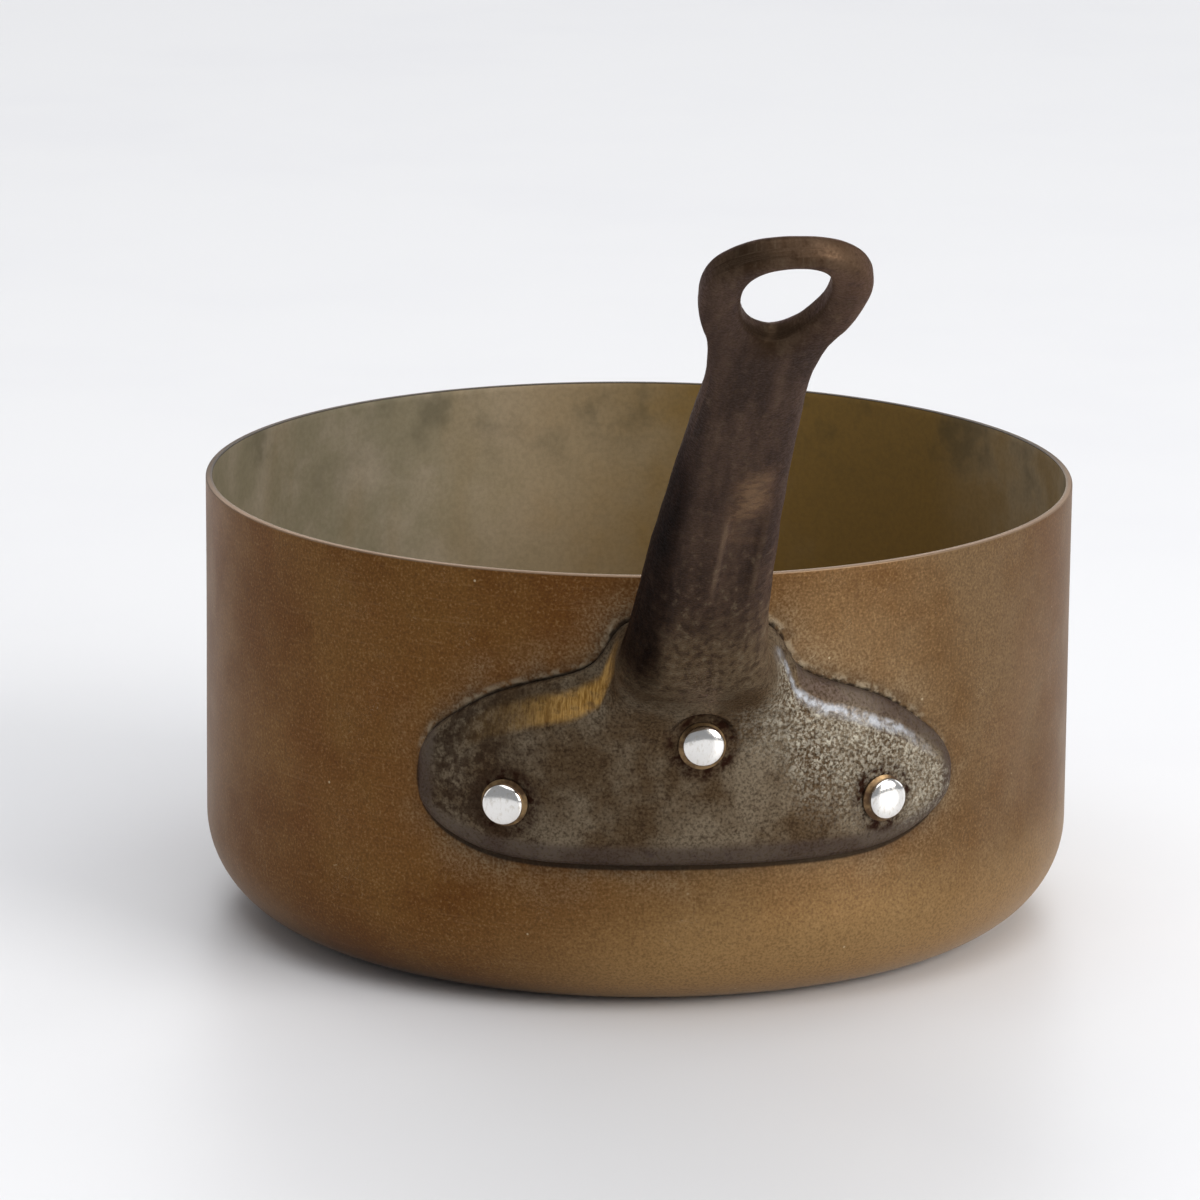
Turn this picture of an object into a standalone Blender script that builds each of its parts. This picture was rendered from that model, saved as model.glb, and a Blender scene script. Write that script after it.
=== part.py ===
"""Copper saucepan with a riveted cast-iron handle.

Lengths are in metres. The pan stands on z = 0 with its axis on the Z axis, and its handle points to -Y.
"""

from math import cos, pi, radians, sin

import bmesh
import bpy
from mathutils import Matrix, Vector

# Pan: a deep-drawn copper shell, open at the top, with a thin lining inside it.
PAN_RADIUS = 0.080
PAN_HEIGHT = 0.0812
CORNER_RADIUS = 0.018
COPPER_THICKNESS = 0.00085
LINING_GAP = 0.00010
LINING_THICKNESS = 0.00030
RIM_ROUND = 0.00010
PAN_STEPS = 72
CORNER_STEPS = 7

# Flange: the handle's foot, bent to the pan's wall. Arcs run along the wall from the flange's middle.
WALL_GAP = 0.00035
FLANGE_THICKNESS = 0.0032
FLANGE_EDGE = 0.0015
ARC_RADIUS = 0.082
TOP_SKEW = 0.035
# (arc, bottom edge, lower bevel line, upper bevel line, top edge)
FLANGE_COLUMNS = (
    (0.0, 0.0291, 0.0328, 0.0665, 0.0745),
    (0.0072, 0.0291, 0.0328, 0.0662, 0.0743),
    (0.0144, 0.0291, 0.0328, 0.0648, 0.0728),
    (0.0172, 0.0291, 0.0328, 0.0598, 0.0655),
    (0.0215, 0.0291, 0.0328, 0.0570, 0.0629),
    (0.0290, 0.0292, 0.0330, 0.0542, 0.0607),
    (0.0375, 0.0301, 0.0339, 0.0508, 0.0577),
    (0.0450, 0.0329, 0.0362, 0.0466, 0.0526),
    (0.0508, 0.0385, 0.0400, 0.0442, 0.0462),
)
# Where the inner rows lie between the two bevel lines. The bar grows above the last one.
FLANGE_ROWS = (0.35, 0.64, 0.80)
ROOT_COLUMNS = 2
ROOT_ROWS = 2
ROOT_FILLET = 0.0017

# Bar: it rises at one angle from the flange, set a little to the left of its middle.
BAR_RISE = radians(32.5)
BAR_START = (-0.0018, -0.0840, 0.0632)
# It leans to the left by BAR_LEAN for each metre, and BAR_BOW bends it back until BOW_REACH.
BAR_LEAN = 0.0855
BAR_BOW = 0.195
BOW_REACH = 0.165
# (reach along the bar, half width, half thickness, turn of the section back towards the wall)
BAR_STATIONS = (
    (0.007, 0.0139, 0.0049, radians(-12)),
    (0.016, 0.0129, 0.0053, radians(-4)),
    (0.030, 0.0120, 0.0054, 0.0),
    (0.050, 0.0112, 0.0052, 0.0),
    (0.070, 0.01075, 0.0049, 0.0),
    (0.092, 0.0099, 0.0045, 0.0),
    (0.114, 0.0092, 0.0040, 0.0),
    (0.134, 0.0087, 0.0034, 0.0),
    (0.150, 0.00815, 0.0030, 0.0),
    (0.160, 0.0083, 0.0028, 0.0),
    (0.1705, 0.0096, 0.0026, 0.0),
)

# Loop: the teardrop eye at the end of the bar, by which the pan hangs.
LOOP_CENTRE = 0.1945
LOOP_HALF_WIDTH = 0.0132
LOOP_LENGTH = 0.0142
EYE_HALF_WIDTH = 0.0066
EYE_LENGTH = 0.0100
LOOP_HALF_THICKNESS = 0.0023
# (reach along the bar, outer half width, half width of the eye, half thickness)
LIMB_STATIONS = (
    (0.1755, 0.0107, 0.0030, 0.0025),
    (0.181, 0.0118, 0.0056, 0.0024),
    (0.188, 0.0128, 0.0066, 0.0023),
)
LIMB_TURNS = (radians(0), radians(26), radians(50), radians(73))

# How the cage of the casting stands out from the rounded shape that it makes.
CAST_LEVELS = 1
BACK_CREASE = 0.7
CORNER_PULL = 0.90
SIDE_SWELL = 1.04
EDGE_PULL = 0.80
FACE_SWELL = 1.12
LIMB_MID = 1.2
LIMB_EDGE = 0.85

# Rivets: one in the middle above and one on each side below, through flange, copper and lining.
RIVET_PLACES = {
    "rivet_left": (radians(-23.5), 0.0403),
    "rivet_top": (radians(0.3), 0.0516),
    "rivet_right": (radians(23.8), 0.0394),
}
SHANK_RADIUS = 0.0032
HOLE_RADIUS = 0.0035
SEAT_RADIUS = 0.0056
DRILL_REACH = 0.015
HEAD_RADIUS = 0.0060
HEAD_EDGE = 0.0005
HEAD_CROWN = 0.0012
HEAD_GAP = 0.0006
FOOT_GAP = 0.0003
FOOT_RADIUS = 0.0043
FOOT_EDGE = 0.0003
TAIL_RADIUS = 0.00345
TAIL_SIDE = 0.0008
TAIL_CROWN = 0.0008
CROWN_STEPS = 5
RIVET_STEPS = 28


def clear_scene():
    for leftover in list(bpy.data.objects):
        bpy.data.objects.remove(leftover)


def finish(name, colour, roughness):
    """A bare metal with this colour and roughness."""
    material = bpy.data.materials.new(name)
    material.use_nodes = True
    shader = material.node_tree.nodes["Principled BSDF"]
    shader.inputs["Base Color"].default_value = (*colour, 1.0)
    shader.inputs["Roughness"].default_value = roughness
    shader.inputs["Metallic"].default_value = 1.0
    return material


def add_object(name, builder, material=None):
    """Turns a finished bmesh into a named object, shaded smooth across its soft edges."""
    mesh = bpy.data.meshes.new(name)
    builder.to_mesh(mesh)
    builder.free()
    mesh.shade_smooth()
    mesh.set_sharp_from_angle(angle=radians(35))
    if material:
        mesh.materials.append(material)
    made = bpy.data.objects.new(name, mesh)
    bpy.context.collection.objects.link(made)
    return made


def arc_points(centre, radius, start, end, steps):
    """Points of an arc in the (radius, height) plane, from one angle to another."""
    angles = [start + (end - start) * step / steps for step in range(steps + 1)]
    return [(centre[0] + radius * cos(a), centre[1] + radius * sin(a)) for a in angles]


def turned(profile, steps):
    """A closed body turned round the Z axis from (radius, height) points that start and end on it."""
    builder = bmesh.new()
    points = [builder.verts.new((radius, 0.0, height)) for radius, height in profile]
    edges = [builder.edges.new(pair) for pair in zip(points, points[1:])]
    bmesh.ops.spin(
        builder, geom=points + edges, cent=(0, 0, 0), axis=(0, 0, 1), dvec=(0, 0, 0),
        angle=2 * pi, steps=steps, use_merge=True,
    )
    bmesh.ops.remove_doubles(builder, verts=builder.verts, dist=1e-6)
    bmesh.ops.recalc_face_normals(builder, faces=builder.faces)
    return builder


def cup_profile(radius, base, thickness, corner):
    """Section of an open cup: out along its base, up the wall, over the rim and back down inside."""
    inside = radius - thickness
    turn = (radius - corner, base + corner)
    return [
        (0.0, base),
        *arc_points(turn, corner, -pi / 2, 0.0, CORNER_STEPS),
        (radius, PAN_HEIGHT - RIM_ROUND),
        (radius - RIM_ROUND, PAN_HEIGHT),
        (inside + RIM_ROUND, PAN_HEIGHT),
        (inside, PAN_HEIGHT - RIM_ROUND),
        *arc_points(turn, corner - thickness, 0.0, -pi / 2, CORNER_STEPS),
        (0.0, base + thickness),
    ]


def crown(radius, edge, rise):
    """A low dome's points from its rim to its top, on the Z axis."""
    ball = (radius**2 + rise**2) / (2 * rise)
    centre = edge + rise - ball
    radii = [radius * cos(pi / 2 * step / CROWN_STEPS) for step in range(CROWN_STEPS)]
    points = [(r, centre + (ball**2 - r**2) ** 0.5) for r in radii]
    return points + [(0.0, edge + rise)]


def rivet_profile():
    """A rivet along its own axis, measured outwards from the pan's axis: head, shank, foot and tail."""
    lining_face = PAN_RADIUS - COPPER_THICKNESS - LINING_GAP - LINING_THICKNESS
    head_face = lining_face - HEAD_GAP
    foot_face = PAN_RADIUS + WALL_GAP + FLANGE_THICKNESS + FOOT_GAP
    head = [(r, -d) for r, d in crown(HEAD_RADIUS, HEAD_EDGE - head_face, HEAD_CROWN)]
    tail_start = foot_face + 2 * FOOT_EDGE
    return [
        *reversed(head),
        (HEAD_RADIUS, head_face),
        (SHANK_RADIUS, head_face),
        (SHANK_RADIUS, foot_face),
        (FOOT_RADIUS, foot_face),
        (FOOT_RADIUS, foot_face + FOOT_EDGE),
        (TAIL_RADIUS, tail_start),
        *crown(TAIL_RADIUS, tail_start + TAIL_SIDE, TAIL_CROWN),
    ]


def radial_frame(angle, height):
    """A frame on the pan's axis whose local Z points straight out of the pan at this angle."""
    outward = Vector((sin(angle), -cos(angle), 0.0))
    across = Vector((cos(angle), sin(angle), 0.0))
    turn = Matrix((across, outward.cross(across), outward)).transposed()
    return Matrix.Translation((0, 0, height)) @ turn.to_4x4()


def add_rivet(name, place, material):
    rivet = add_object(name, turned(rivet_profile(), RIVET_STEPS), material)
    rivet.matrix_world = radial_frame(*place)


def add_drill(name, place):
    """The stepped drill for one rivet, which only cuts: its hole, and a flat seat for its foot."""
    seat = PAN_RADIUS + WALL_GAP + FLANGE_THICKNESS
    profile = [
        (0.0, PAN_RADIUS - DRILL_REACH),
        (HOLE_RADIUS, PAN_RADIUS - DRILL_REACH),
        (HOLE_RADIUS, seat),
        (SEAT_RADIUS, seat),
        (SEAT_RADIUS, PAN_RADIUS + DRILL_REACH),
        (0.0, PAN_RADIUS + DRILL_REACH),
    ]
    drill = add_object(name, turned(profile, RIVET_STEPS))
    drill.matrix_world = radial_frame(*place)
    drill.hide_render = True
    drill.display_type = "WIRE"
    return drill


def drill_through(piece, drills):
    for drill in drills:
        hole = piece.modifiers.new(drill.name, "BOOLEAN")
        hole.operation = "DIFFERENCE"
        hole.solver = "EXACT"
        hole.object = drill


def on_wall(arc, height, off):
    """A point this far off the pan's wall, at an arc from the handle's middle."""
    angle = arc / ARC_RADIUS
    out = PAN_RADIUS + off
    return Vector((out * sin(angle), -out * cos(angle), height))


def in_bar(reach, across, through, turn=0.0):
    """A point in the bar: along it from its start, across it, and through it towards its top face."""
    bowed = min(reach, BOW_REACH)
    lean = BAR_LEAN * reach - BAR_BOW * bowed * (2 * reach - bowed)
    out = reach * cos(BAR_RISE) - through * sin(BAR_RISE + turn)
    up = reach * sin(BAR_RISE) + through * cos(BAR_RISE + turn)
    return Vector(BAR_START) + Vector((across - lean, -out, up))


def is_vert(element):
    return isinstance(element, bmesh.types.BMVert)


def is_face(element):
    return isinstance(element, bmesh.types.BMFace)


def draw_out(builder, ends, place):
    """Extrudes the casting's end faces, and sets each new point by the column and row it carries."""
    column, row = (builder.verts.layers.float[name] for name in ("column", "row"))
    grown = bmesh.ops.extrude_face_region(builder, geom=ends)["geom"]
    bmesh.ops.delete(builder, geom=ends, context="FACES")
    for point in filter(is_vert, grown):
        point.co = place(point[column], point[row])
    return list(filter(is_face, grown))


def cast_flange(builder):
    """Lays the flange's grid on the wall and raises its front, bevelled down to a thin edge all round."""
    column, row = (builder.verts.layers.float.new(name) for name in ("column", "row"))
    columns = [(-arc, *heights) for arc, *heights in reversed(FLANGE_COLUMNS[1:])]
    columns += FLANGE_COLUMNS
    last = len(columns) - 1
    top = len(FLANGE_ROWS) + 3

    def place(i, j, off):
        arc, bottom, low, high, crest = columns[round(i)]
        rows = [bottom, low, *(low + (high - low) * share for share in FLANGE_ROWS), high, crest]
        return on_wall(arc, rows[round(j)] - TOP_SKEW * arc * j / top, WALL_GAP + off)

    def place_front(i, j):
        at_edge = i in (0, last) or j in (0, top)
        at_root = abs(i - last / 2) <= ROOT_COLUMNS and j == top - ROOT_ROWS
        off = FLANGE_EDGE if at_edge else FLANGE_THICKNESS
        return place(i, j, off + ROOT_FILLET if at_root else off)

    grid = bmesh.ops.create_grid(builder, x_segments=last, y_segments=top, size=0.5)["verts"]
    for point in grid:
        point[column] = round((point.co.x + 0.5) * last)
        point[row] = round((point.co.y + 0.5) * top)
        point.co = place(point[column], point[row], 0.0)
    back = list(builder.faces)
    front = bmesh.ops.extrude_face_region(builder, geom=back)["geom"]
    for point in filter(is_vert, front):
        point.co = place_front(point[column], point[row])
    bmesh.ops.reverse_faces(builder, faces=back)
    crease = builder.edges.layers.float.new("crease_edge")
    for edge in builder.edges:
        if sum(face in back for face in edge.link_faces) == 1:
            edge[crease] = BACK_CREASE
    return list(filter(is_face, front)), last, top


def cast_bar(builder, front, last, top):
    """Draws the bar out of the flange's middle columns and upper rows."""
    column, row = (builder.verts.layers.float[name] for name in ("column", "row"))
    middle = last / 2
    root = [
        face for face in front
        if all(abs(p[column] - middle) <= ROOT_COLUMNS for p in face.verts)
        and all(p[row] >= top - ROOT_ROWS for p in face.verts)
    ]
    for point in {p for face in root for p in face.verts}:
        point[column] = (point[column] - middle) / ROOT_COLUMNS
        point[row] = point[row] - top + ROOT_ROWS / 2
    ends = root
    for reach, half_width, half_thickness, turn in BAR_STATIONS:

        def place(i, j):
            across = i * half_width * (CORNER_PULL if j else SIDE_SWELL)
            through = j * half_thickness * (EDGE_PULL if abs(i) == 1 else FACE_SWELL)
            return in_bar(reach, across, through, turn)

        ends = draw_out(builder, ends, place)
    return ends


def cast_loop(builder, ends):
    """Splits the bar's end into two limbs, draws them round the eye, and joins them at the tip."""
    column = builder.verts.layers.float["column"]
    halves = [[f for f in ends if side * sum(p[column] for p in f.verts) > 0] for side in (-1, 1)]
    tips = []
    for side, limb in zip((-1, 1), halves):
        for reach, outer, inner, half_thickness in LIMB_STATIONS:

            def place(i, j):
                across = inner + (outer - inner) * abs(i)
                through = j * half_thickness * (LIMB_MID if abs(i) == 0.5 else LIMB_EDGE)
                return in_bar(reach, side * across, through)

            limb = draw_out(builder, limb, place)
        for angle in LIMB_TURNS:

            def place(i, j):
                width = EYE_HALF_WIDTH + (LOOP_HALF_WIDTH - EYE_HALF_WIDTH) * abs(i)
                length = EYE_LENGTH + (LOOP_LENGTH - EYE_LENGTH) * abs(i)
                through = j * LOOP_HALF_THICKNESS * (LIMB_MID if abs(i) == 0.5 else LIMB_EDGE)
                reach = LOOP_CENTRE + length * sin(angle)
                return in_bar(reach, side * width * cos(angle), through)

            limb = draw_out(builder, limb, place)
        tips.append(limb)
    edges = []
    for limb in tips:
        faces = set(limb)
        edges += [e for f in limb for e in f.edges if not set(e.link_faces) <= faces]
    bmesh.ops.delete(builder, geom=[f for limb in tips for f in limb], context="FACES")
    bmesh.ops.bridge_loops(builder, edges=edges)


def add_handle(material):
    builder = bmesh.new()
    front, last, top = cast_flange(builder)
    ends = cast_bar(builder, front, last, top)
    cast_loop(builder, ends)
    bmesh.ops.recalc_face_normals(builder, faces=builder.faces)
    handle = add_object("handle", builder, material)
    smooth = handle.modifiers.new("cast_round", "SUBSURF")
    smooth.levels = smooth.render_levels = CAST_LEVELS
    return handle


clear_scene()
copper = finish("copper", (0.42, 0.24, 0.11), 0.42)
lining_metal = finish("lining", (0.30, 0.27, 0.20), 0.55)
cast_iron = finish("cast_iron", (0.07, 0.055, 0.045), 0.55)
rivet_metal = finish("rivet_metal", (0.80, 0.78, 0.74), 0.15)

lining_radius = PAN_RADIUS - COPPER_THICKNESS - LINING_GAP
lining_corner = CORNER_RADIUS - COPPER_THICKNESS - LINING_GAP
shell = cup_profile(PAN_RADIUS, 0.0, COPPER_THICKNESS, CORNER_RADIUS)
skin = cup_profile(lining_radius, COPPER_THICKNESS + LINING_GAP, LINING_THICKNESS, lining_corner)
drills = [add_drill(f"{name}_drill", place) for name, place in RIVET_PLACES.items()]
drill_through(add_object("pan_body", turned(shell, PAN_STEPS), copper), drills)
drill_through(add_object("pan_lining", turned(skin, PAN_STEPS), lining_metal), drills)
drill_through(add_handle(cast_iron), drills)
for rivet_name, rivet_place in RIVET_PLACES.items():
    add_rivet(rivet_name, rivet_place, rivet_metal)
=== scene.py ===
"""A small copper saucepan with a riveted cast-iron handle, made piece by piece round its CAD frame.

Lengths are in metres. The pan stands on z = 0 with its axis on Z, and its handle points to -Y.
"""

from math import atan2, cos, hypot, pi, radians, sin
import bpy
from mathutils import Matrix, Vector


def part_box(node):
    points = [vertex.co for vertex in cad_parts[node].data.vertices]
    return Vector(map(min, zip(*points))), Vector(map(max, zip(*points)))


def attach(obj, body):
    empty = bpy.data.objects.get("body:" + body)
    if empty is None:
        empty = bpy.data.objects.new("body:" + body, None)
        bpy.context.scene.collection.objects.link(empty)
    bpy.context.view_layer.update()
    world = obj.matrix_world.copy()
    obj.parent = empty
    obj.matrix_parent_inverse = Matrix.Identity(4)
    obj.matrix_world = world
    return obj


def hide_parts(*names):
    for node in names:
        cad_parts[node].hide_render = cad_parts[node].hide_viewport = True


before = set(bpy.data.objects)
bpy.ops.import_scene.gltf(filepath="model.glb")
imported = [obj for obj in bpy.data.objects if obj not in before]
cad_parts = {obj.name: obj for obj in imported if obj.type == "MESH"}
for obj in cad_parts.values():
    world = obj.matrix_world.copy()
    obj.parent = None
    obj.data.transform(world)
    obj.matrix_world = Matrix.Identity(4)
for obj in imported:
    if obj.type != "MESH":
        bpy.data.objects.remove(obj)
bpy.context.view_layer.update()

from types import SimpleNamespace

import bmesh
import bpy
from mathutils import Matrix, Vector, noise

# ---- Copper cup ----
# The pan itself: one disc of copper drawn into a straight-sided cup with a rounded corner. Its rim
# is cut level and rubbed round. Heat, polish and handling have turned the outside satin brown.

low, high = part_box("pan_body")
PAN_RADIUS = (high[0] - low[0]) / 2
PAN_HEIGHT = high[2]
CORNER_RADIUS = 0.018
COPPER_THICKNESS = 0.00085
COPPER_RIM_ROUND = 0.00028
DENT_DEPTH = 0.00012
DENT_SIZE = 0.035
NICKS_PER_METRE = 210.0
HAIRS_PER_METRE = 70.0
# How much narrower the painted shadow line round the flange is above it than below.
GAP_NARROWING = 0.0007

# How finely the cup is divided. Its hidden corner is where copper and lining meet.
PAN_STEPS = 300
WALL_STEPS = 56
BASE_STEPS = 14
CORNER_STEPS = 24
HIDDEN_CORNER_STEPS = 12
RIM_STEPS = 5
MERGE_DISTANCE = 1e-6
SHARP_ANGLE = radians(40)


def arc_points(centre, radius, start, end, steps):
    """Points of an arc in the (radius, height) plane, from one angle to another."""
    angles = [start + (end - start) * step / steps for step in range(steps + 1)]
    return [(centre[0] + radius * cos(a), centre[1] + radius * sin(a)) for a in angles]


def straight(start, end, steps):
    """Evenly spaced points between two points, without the two themselves."""
    shares = [step / steps for step in range(1, steps)]
    return [tuple(a + (b - a) * share for a, b in zip(start, end)) for share in shares]


def turned(profile, steps):
    """A closed body turned round the Z axis from (radius, height) points that start and end on it."""
    builder = bmesh.new()
    points = [builder.verts.new((radius, 0.0, height)) for radius, height in profile]
    edges = [builder.edges.new(pair) for pair in zip(points, points[1:])]
    bmesh.ops.spin(
        builder, geom=points + edges, cent=(0, 0, 0), axis=(0, 0, 1), dvec=(0, 0, 0),
        angle=2 * pi, steps=steps, use_merge=True,
    )
    bmesh.ops.remove_doubles(builder, verts=builder.verts, dist=MERGE_DISTANCE)
    bmesh.ops.recalc_face_normals(builder, faces=builder.faces)
    return builder


def dented(builder):
    """Gives a turned wall the shallow unevenness of a sheet that was drawn, used and knocked."""
    for point in builder.verts:
        outward = Vector((point.co.x, point.co.y, 0.0))
        if outward.length > CORNER_RADIUS:
            depth = DENT_DEPTH * (noise.noise(point.co / DENT_SIZE) - 0.5)
            point.co += outward.normalized() * depth
    return builder


def add_piece(name, builder, *finishes):
    """Makes a finished bmesh into a smooth piece of the object, with these materials."""
    mesh = bpy.data.meshes.new(name)
    builder.to_mesh(mesh)
    builder.free()
    mesh.shade_smooth()
    mesh.set_sharp_from_angle(angle=SHARP_ANGLE)
    for finish in finishes:
        mesh.materials.append(finish)
    piece = bpy.data.objects.new(name, mesh)
    bpy.context.collection.objects.link(piece)
    return piece


def tone(red, green, blue):
    """A colour given as it looks on a screen, from 0 to 255, in the linear light that shaders use."""
    return (*((part / 255) ** 2.2 for part in (red, green, blue)), 1.0)


def add(tree, kind, sockets, **settings):
    """A shader node with these settings. Each socket takes a value or another node's output."""
    node = tree.nodes.new(kind)
    for setting, value in settings.items():
        setattr(node, setting, value)
    for socket, value in sockets.items():
        if isinstance(value, bpy.types.NodeSocket):
            tree.links.new(value, node.inputs[socket])
        else:
            node.inputs[socket].default_value = value
    return node


def new_finish(name, metallic, roughness):
    """A new material: its tree, its shader and its object coordinates."""
    material = bpy.data.materials.new(name)
    material.use_nodes = True
    tree = material.node_tree
    shader = tree.nodes["Principled BSDF"]
    shader.inputs["Metallic"].default_value = metallic
    shader.inputs["Roughness"].default_value = roughness
    place = add(tree, "ShaderNodeTexCoord", {}).outputs["Object"]
    return material, tree, shader, place


def clouds(tree, place, size, detail=3.0, stretch=(1, 1, 1)):
    """Soft blotches of about this size, longer along the axes where stretch is under 1."""
    grid = add(tree, "ShaderNodeMapping", {"Vector": place, "Scale": [s / size for s in stretch]})
    sockets = {"Vector": grid.outputs[0], "Scale": 1.0, "Detail": detail, "Roughness": 0.6}
    return add(tree, "ShaderNodeTexNoise", sockets).outputs[0]


def mark(tree, name):
    """The number that each point of a piece keeps under this name."""
    return add(tree, "ShaderNodeAttribute", {}, attribute_name=name).outputs["Fac"]


def between(tree, value, low, high, start=0.0, end=1.0):
    """A smooth step of value: start at low or under, end at high or over."""
    sockets = {"Value": value, "From Min": low, "From Max": high, "To Min": start, "To Max": end}
    return add(tree, "ShaderNodeMapRange", sockets, interpolation_type="SMOOTHSTEP").outputs[0]


def maths(tree, way, *values):
    """The result of one Math node."""
    return add(tree, "ShaderNodeMath", dict(enumerate(values)), operation=way).outputs[0]


def times(tree, *values):
    """The product of two or more node values."""
    product = values[0]
    for value in values[1:]:
        product = maths(tree, "MULTIPLY", product, value)
    return product


def mixed(tree, share, first, second):
    """Two colours mixed by share."""
    sockets = {0: share, 6: first, 7: second}
    return add(tree, "ShaderNodeMix", sockets, data_type="RGBA").outputs[2]


def painted(tree, colour, *coats):
    """A colour with (share, colour) coats laid over it in turn."""
    for share, coat in coats:
        colour = mixed(tree, share, colour, coat)
    return colour


def rim_colour(tree, place, front):
    """The colour of a rim: this tone at the front, rubbed, and darkened towards the back with painted
    shade.
    """
    depth = add(tree, "ShaderNodeSeparateXYZ", {0: place}).outputs["Y"]
    return mixed(tree, between(tree, depth, -0.030, 0.020), front, tone(58, 49, 38))


def raise_surface(tree, shader, *layers):
    """Stacks (height, depth in metres) layers of relief under a shader."""
    normal = None
    for height, depth in layers:
        sockets = {"Height": height, "Distance": depth, "Strength": 1.0}
        if normal:
            sockets["Normal"] = normal
        normal = add(tree, "ShaderNodeBump", sockets).outputs[0]
    tree.links.new(normal, shader.inputs["Normal"])


def scratch_coats(tree, place, patches):
    """Nicks: small bright pits, only in some of the cells, and hair scratches in a few places."""
    nicks = add(tree, "ShaderNodeTexVoronoi", {"Vector": place, "Scale": NICKS_PER_METRE})
    rare = add(tree, "ShaderNodeSeparateColor", {0: nicks.outputs["Color"]}).outputs[0]
    nick = times(
        tree, between(tree, nicks.outputs["Distance"], 0.030, 0.065, 0.7, 0.0),
        between(tree, rare, 0.66, 0.86),
    )
    warp = {0: place, 1: clouds(tree, place, 0.008, 2.0)}
    warped = add(tree, "ShaderNodeVectorMath", warp, operation="ADD").outputs[0]
    cells = {"Vector": warped, "Scale": HAIRS_PER_METRE}
    hairs = add(tree, "ShaderNodeTexVoronoi", cells, feature="DISTANCE_TO_EDGE").outputs["Distance"]
    hair = times(
        tree, between(tree, hairs, 0.002, 0.010, 0.55, 0.0), between(tree, patches, 0.54, 0.66)
    )
    return [(nick, tone(196, 178, 144)), (hair, tone(176, 154, 122))]


def deposit_coats(tree, place, patches, grain):
    """What dries out round the flange: bloom, brown dirt, crust above it; and the dark line in the gap
    itself, a painted shadow.
    """
    edge, above = mark(tree, "from_flange"), mark(tree, "above_flange")
    ragged = between(tree, clouds(tree, place, 0.0022, 4.0), 0.42, 0.62)
    bloom = times(
        tree, between(tree, edge, 0.0, 0.0100, 0.5, 0.0),
        between(tree, patches, 0.38, 0.64, 0.15, 1.0), between(tree, grain, 0.38, 0.62, 0.15, 1.0),
    )
    dirt = times(
        tree, between(tree, edge, 0.0008, 0.0040, 0.5, 0.0),
        between(tree, ragged, 0.0, 1.0, 1.0, 0.5), between(tree, patches, 0.35, 0.60, 0.4, 1.0),
    )
    crust = times(tree, between(tree, edge, 0.0008, 0.0018, 0.55, 0.0), ragged, above)
    gap = maths(tree, "MULTIPLY_ADD", above, GAP_NARROWING, edge)
    return [
        (bloom, tone(140, 126, 102)),
        (dirt, tone(52, 38, 28)),
        (crust, tone(150, 138, 116)),
        # Painted shadow: the dark line round the flange, in the gap between it and the wall.
        (between(tree, gap, 0.0009, 0.0014, 0.85, 0.0), tone(22, 17, 12)),
    ]


def copper_finish():
    """Tarnished copper: brown with bronze clouds, a fine grain, bright nicks and a rubbed rim."""
    material, tree, shader, place = new_finish("worn_copper", metallic=0.7, roughness=0.45)
    shader.inputs["Specular Tint"].default_value = tone(241, 224, 210)
    shader.inputs["Sheen Weight"].default_value = 0.12
    shader.inputs["Sheen Roughness"].default_value = 0.35
    across, _, height = add(tree, "ShaderNodeSeparateXYZ", {0: place}).outputs

    # The tarnished base, with painted light and shade: darker and redder on the left as painted shade,
    # paler and greyer on the right as a painted sheen, and paler low down but for the left as painted
    # light from the floor.
    cloud = between(tree, clouds(tree, place, 0.034, 4.0), 0.35, 0.68)
    left = mixed(tree, cloud, tone(101, 63, 22), tone(114, 80, 38))
    right = mixed(tree, cloud, tone(101, 71, 37), tone(117, 93, 64))
    tarnish_and_painted_light = mixed(tree, between(tree, across, -0.050, 0.050), left, right)
    russet = between(tree, clouds(tree, place, 0.040, 4.0), 0.50, 0.74, 0.0, 0.3)
    # Painted light: paler and golden low on the wall but for the left, where the bright floor lights it.
    rubbed = times(
        tree, between(tree, height, 0.004, 0.032, 0.9, 0.0), between(tree, across, -0.050, 0.0)
    )

    # The grain: dark pores, bright points, and faint streaks round the wall.
    grain = clouds(tree, place, 0.00048, 2.0)
    streaks = clouds(tree, place, 0.0005, stretch=(0.04, 0.04, 1))
    patches = clouds(tree, place, 0.012)
    bloom, dirt, crust, gap = deposit_coats(tree, place, patches, grain)
    rim = between(tree, height, PAN_HEIGHT - 0.00035, PAN_HEIGHT - 0.0001)
    colour = painted(
        tree, tarnish_and_painted_light,
        (russet, tone(108, 63, 30)),
        (rubbed, tone(160, 128, 84)),
        (between(tree, grain, 0.28, 0.60, 0.40, 0.0), tone(52, 32, 18)),
        (between(tree, grain, 0.55, 0.75, 0.0, 0.35), tone(160, 130, 92)),
        (between(tree, streaks, 0.55, 0.75, 0.0, 0.16), tone(150, 118, 84)),
        *scratch_coats(tree, place, patches),
        bloom, dirt, crust, gap,
        (rim, rim_colour(tree, place, tone(132, 110, 90))),
    )
    tree.links.new(colour, shader.inputs["Base Color"])
    tree.links.new(between(tree, cloud, 0.0, 1.0, 0.50, 0.42), shader.inputs["Roughness"])
    raise_surface(tree, shader, (streaks, 0.000010), (grain, 0.00003), (crust[0], 0.00015))
    return material


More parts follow.
